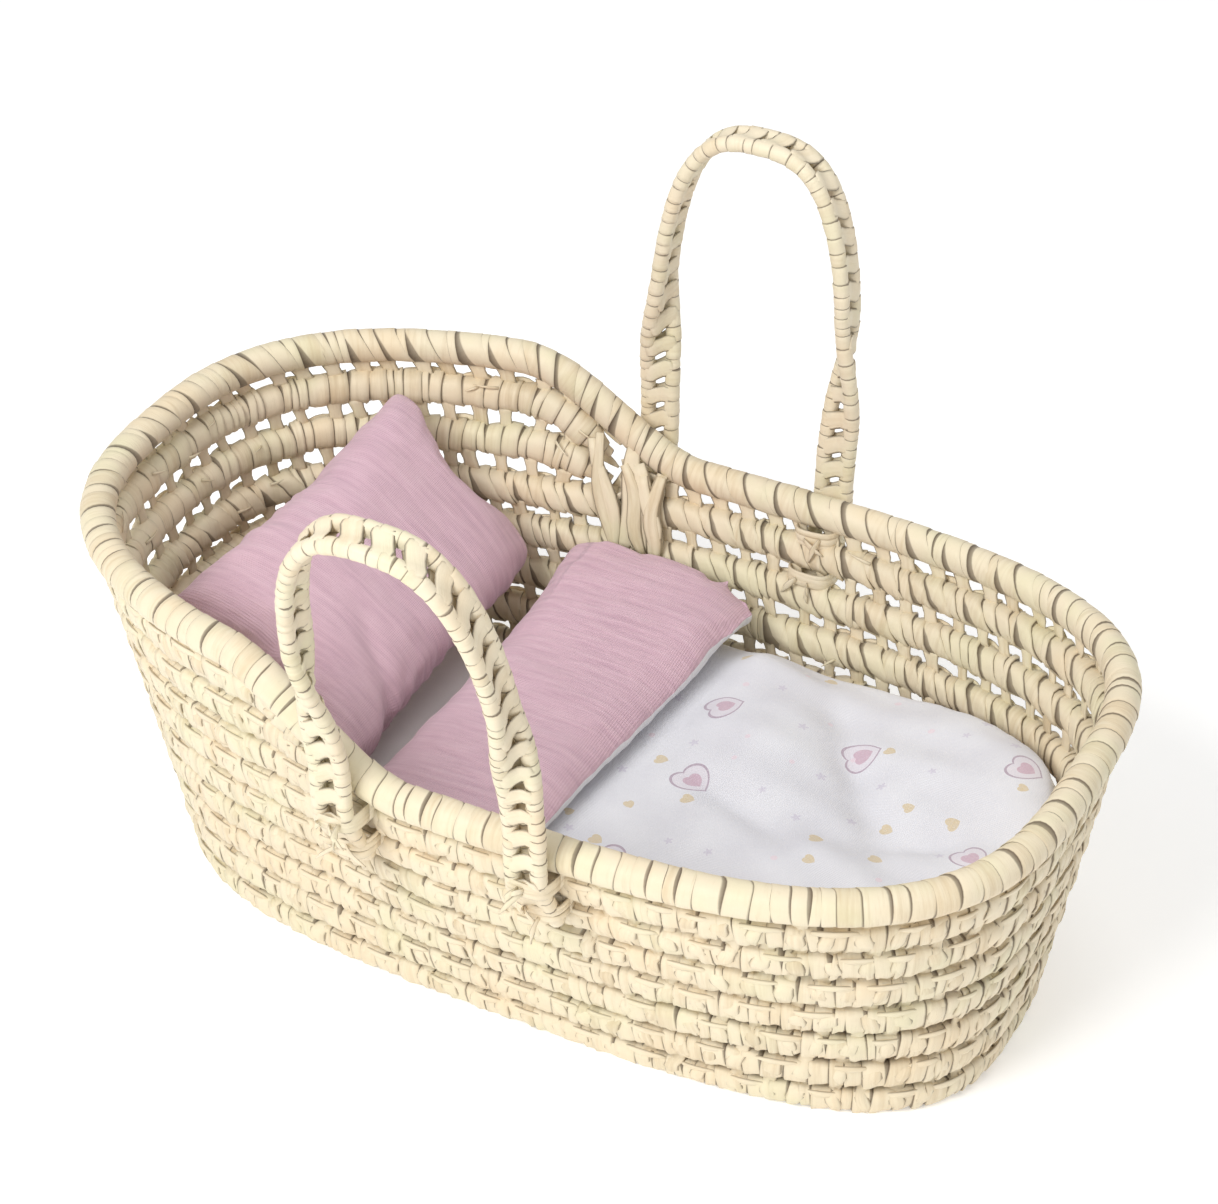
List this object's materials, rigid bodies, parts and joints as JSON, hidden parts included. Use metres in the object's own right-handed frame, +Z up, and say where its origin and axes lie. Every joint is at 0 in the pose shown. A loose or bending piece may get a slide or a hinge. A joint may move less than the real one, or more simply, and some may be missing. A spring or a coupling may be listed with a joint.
{
  "type": "moses basket",
  "caption": "Doll's moses basket of sewn palm leaf courses with a raised head end, a wound rim, two swinging strap handles, and a mattress, pillow and folded duvet.",
  "frame": {"origin": "on the floor, under the middle of the rim's outline", "axes": "+X along the basket towards the low foot end, +Y towards the far handle, +Z up"},
  "size_m": [0.498, 0.3845, 0.339],
  "materials": {
    "palm_leaf": "satin",
    "palm_leaf_tie": "satin",
    "palm_leaf_floor": "satin",
    "palm_rib_core": "matte",
    "mattress_cotton": "matte",
    "foam": "matte",
    "wadding": "matte",
    "pink_gauze": "matte",
    "printed_cotton": "matte"
  },
  "bodies": {
    "basket": {"base_spine": "palm_leaf_floor", "base_round_1": "palm_leaf_floor", "base_round_2": "palm_leaf_floor", "base_round_3": "palm_leaf_floor", "base_round_4": "palm_leaf_floor", "base_lacing": "palm_leaf_floor", "wall_course_1": "palm_leaf", "wall_course_2": "palm_leaf", "wall_course_3": "palm_leaf", "wall_course_4": "palm_leaf", "wall_course_5": "palm_leaf", "wall_course_6": "palm_leaf", "wall_course_7": "palm_leaf", "hood_course_1": "palm_leaf", "hood_course_2": "palm_leaf", "wall_lacing_0": "palm_leaf_tie", "wall_lacing_1": "palm_leaf_tie", "wall_lacing_2": "palm_leaf_tie", "wall_lacing_3": "palm_leaf_tie", "wall_lacing_4": "palm_leaf_tie", "wall_lacing_5": "palm_leaf_tie", "wall_lacing_6": "palm_leaf_tie", "wall_lacing_7": "palm_leaf_tie", "hood_lacing_1": "palm_leaf_tie", "hood_lacing_2": "palm_leaf_tie", "hood_lacing_3": "palm_leaf_tie", "shoulder_tie_near": "palm_leaf_tie", "shoulder_tie_far": "palm_leaf_tie", "rim_core": "palm_rib_core", "rim_wrap": "palm_leaf", "near_handle_feet": "palm_leaf", "near_handle_bends": "palm_leaf", "near_handle_lashings": "palm_leaf_tie", "far_handle_feet": "palm_leaf", "far_handle_bends": "palm_leaf", "far_handle_lashings": "palm_leaf_tie"},
    "near_handle": {"near_handle_front_wrap": "palm_leaf", "near_handle_front_core": "palm_rib_core", "near_handle_back_wrap": "palm_leaf", "near_handle_back_core": "palm_rib_core", "near_handle_lacing": "palm_leaf_tie"},
    "far_handle": {"far_handle_front_wrap": "palm_leaf", "far_handle_front_core": "palm_rib_core", "far_handle_back_wrap": "palm_leaf", "far_handle_back_core": "palm_rib_core", "far_handle_lacing": "palm_leaf_tie"},
    "mattress": {"mattress_cover": "mattress_cotton", "mattress_foam": "foam"},
    "pillow": {"pillow_cover": "pink_gauze", "pillow_filling": "wadding"},
    "duvet": {"duvet_print_side": "printed_cotton", "duvet_gauze_side": "pink_gauze"},
    "duvet_flap": {"flap_print_side": "printed_cotton", "flap_gauze_side": "pink_gauze"}
  },
  "joints": [
    {"name": "near_handle_swing", "type": "hinge", "parent": "basket", "child": "near_handle", "pos_m": [0, -0.16, 0.178], "axis": [-1, 0, 0], "range_deg": [-117, 68]},
    {"name": "far_handle_swing", "type": "hinge", "parent": "basket", "child": "far_handle", "pos_m": [0, 0.16, 0.178], "axis": [1, 0, 0], "range_deg": [-129, 56]},
    {"name": "mattress_lift", "type": "slide", "parent": "basket", "child": "mattress", "axis": [0, 0, 1], "range_m": [0, 0.45]},
    {"name": "pillow_lift", "type": "slide", "parent": "mattress", "child": "pillow", "axis": [0, 0, 1], "range_m": [0, 0.3]},
    {"name": "duvet_lift", "type": "slide", "parent": "mattress", "child": "duvet", "axis": [0, 0, 1], "range_m": [0, 0.15]},
    {"name": "duvet_unfold", "type": "hinge", "parent": "duvet", "child": "duvet_flap", "pos_m": [-0.07, 0, 0.0955], "axis": [0, -1, 0], "range_deg": [0, 30]}
  ]
}
